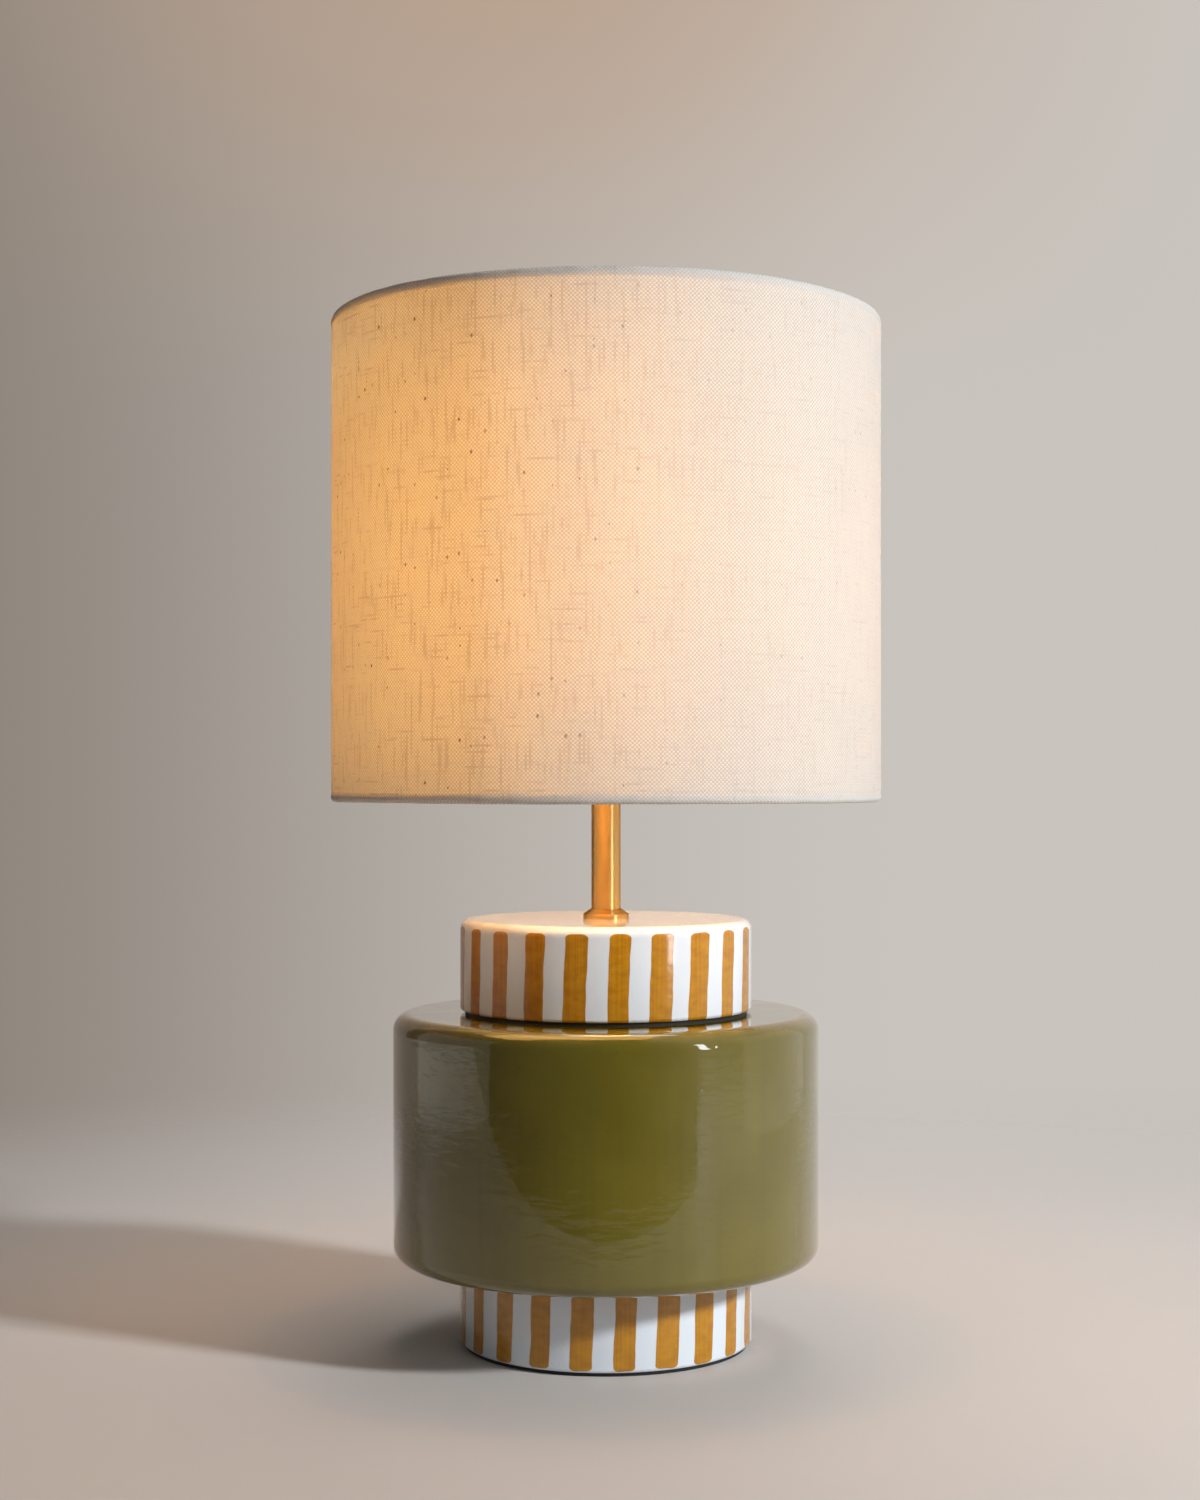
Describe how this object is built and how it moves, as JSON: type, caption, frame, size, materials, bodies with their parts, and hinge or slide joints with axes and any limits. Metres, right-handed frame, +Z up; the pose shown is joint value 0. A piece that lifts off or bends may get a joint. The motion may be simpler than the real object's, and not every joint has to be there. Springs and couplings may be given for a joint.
{
  "type": "ceramic table lamp",
  "caption": "Table lamp of stacked glazed ceramic drums, striped above and below an olive body, with a brass stem, a switched lampholder, an opal bulb and a linen drum shade.",
  "frame": {"origin": "on the lamp's axis at the underside of the foot pad, which is the surface it stands on", "axes": "+Z up along the axis of the drums, stem and shade; the front faces -Y and the cord inlet +Y"},
  "size_m": [0.3, 0.3, 0.5582],
  "materials": {
    "pad_rubber": "matte black pad",
    "striped_glaze": "white gloss glaze with hand-painted ochre stripes",
    "olive_glaze": "olive green high-gloss glaze",
    "gasket_rubber": "matte black rubber",
    "grommet_rubber": "matte black rubber",
    "plated_steel": "zinc plated",
    "satin_brass": "satin brushed brass",
    "holder_brass": "satin brass",
    "contact_brass": "stamped brass",
    "porcelain": "unglazed white porcelain",
    "switch_plastic": "dark moulded plastic",
    "bulb_nickel": "bright plated cap",
    "bulb_black": "black vitreous insulator",
    "opal_glass": "opal glass, lit warm white",
    "linen": "natural linen, plain weave with slubs",
    "liner_film": "white translucent film",
    "frame_wire": "white powder coat"
  },
  "bodies": {
    "base": {"foot_pad": "pad_rubber", "foot_drum": "striped_glaze", "cord_grommet": "grommet_rubber", "clamp_plate": "plated_steel", "spring_washer": "plated_steel", "bottom_nut": "plated_steel", "foot_gasket": "gasket_rubber", "body_drum": "olive_glaze", "cap_gasket": "gasket_rubber", "cap_drum": "striped_glaze", "threaded_rod": "plated_steel", "stem_collar": "satin_brass", "stem_tube": "satin_brass", "lampholder_cup": "holder_brass", "rod_top_nut": "plated_steel", "lampholder_insert": "porcelain", "screw_shell": "contact_brass", "centre_contact": "contact_brass", "terminal_screws": "plated_steel", "switch_bushes": "holder_brass", "switch_contacts": "contact_brass", "lampholder_skirt": "holder_brass"},
    "shade": {"shade_fabric": "linen", "shade_liner": "liner_film", "top_hoop": "frame_wire", "bottom_hoop": "frame_wire", "fitter_arms": "frame_wire", "fitter_ring": "frame_wire"},
    "shade_ring": {"shade_ring": "holder_brass"},
    "switch": {"switch_bar": "holder_brass", "switch_buttons": "switch_plastic", "switch_bridge": "contact_brass"},
    "bulb_lift": {"bulb_contact": "bulb_nickel"},
    "bulb": {"bulb_cap": "bulb_nickel", "bulb_insulator": "bulb_black", "bulb_globe": "opal_glass"}
  },
  "joints": [
    {"name": "shade_swivel", "type": "hinge", "parent": "base", "child": "shade", "pos_m": [0, 0, 0.3424], "axis": [0, 0, 1], "continuous": true},
    {"name": "shade_ring_lift", "type": "slide", "parent": "base", "child": "shade_ring", "axis": [0, 0, 1], "range_m": [0, 0.0215]},
    {"name": "switch_push", "type": "slide", "parent": "base", "child": "switch", "axis": [1, 0, 0], "range_m": [-0.006, 0]},
    {"name": "bulb_rise", "type": "slide", "parent": "base", "child": "bulb_lift", "axis": [0, 0, 1], "range_m": [0, 0.0146]},
    {"name": "bulb_turn", "type": "hinge", "parent": "bulb_lift", "child": "bulb", "pos_m": [0, 0, 0.3447], "axis": [0, 0, 1], "range_deg": [0, 1440]}
  ],
  "couplings": [
    {"joint": "bulb_rise", "follows": "bulb_turn", "m_per_rad": 0.00057757}
  ]
}
